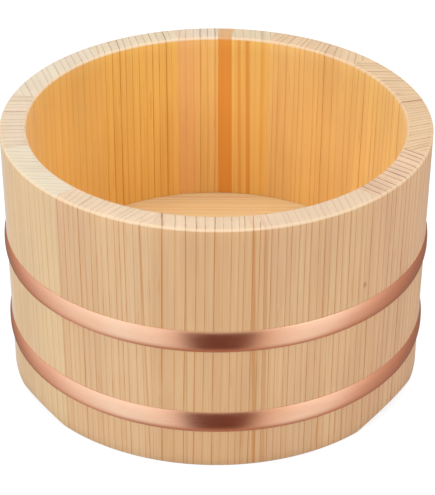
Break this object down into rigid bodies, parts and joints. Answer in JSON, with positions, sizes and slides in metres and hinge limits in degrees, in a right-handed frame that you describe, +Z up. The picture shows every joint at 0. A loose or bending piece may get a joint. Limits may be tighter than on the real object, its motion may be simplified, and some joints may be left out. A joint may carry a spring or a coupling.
{
  "type": "coopered wooden tub",
  "caption": "Small round coopered tub of light softwood staves with a boarded bottom let into a groove, a notched foot and two rounded copper hoops; holds ice or water.",
  "frame": {"origin": "on the tub's axis, in the plane the foot stands on", "axes": "+Z up along the tub's axis, -Y towards the front that the picture shows, +X to its right"},
  "size_m": [0.2108, 0.2108, 0.1314],
  "materials": {
    "stave_wood": "planed, unvarnished softwood with fine straight grain",
    "bottom_wood": "planed, unvarnished softwood with fine straight grain",
    "hoop_copper": "satin copper",
    "pin_bamboo": "split bamboo"
  },
  "bodies": {
    "root": {"stave_01": "stave_wood", "stave_02": "stave_wood", "stave_03": "stave_wood", "stave_04": "stave_wood", "stave_05": "stave_wood", "stave_06": "stave_wood", "stave_07": "stave_wood", "stave_08": "stave_wood", "stave_09": "stave_wood", "stave_10": "stave_wood", "stave_11": "stave_wood", "stave_12": "stave_wood", "stave_13": "stave_wood", "bottom_board_front": "bottom_wood", "bottom_board_middle": "bottom_wood", "bottom_board_back": "bottom_wood", "upper_hoop": "hoop_copper", "lower_hoop": "hoop_copper", "stave_pins": "pin_bamboo", "bottom_pins": "pin_bamboo"}
  },
  "joints": []
}
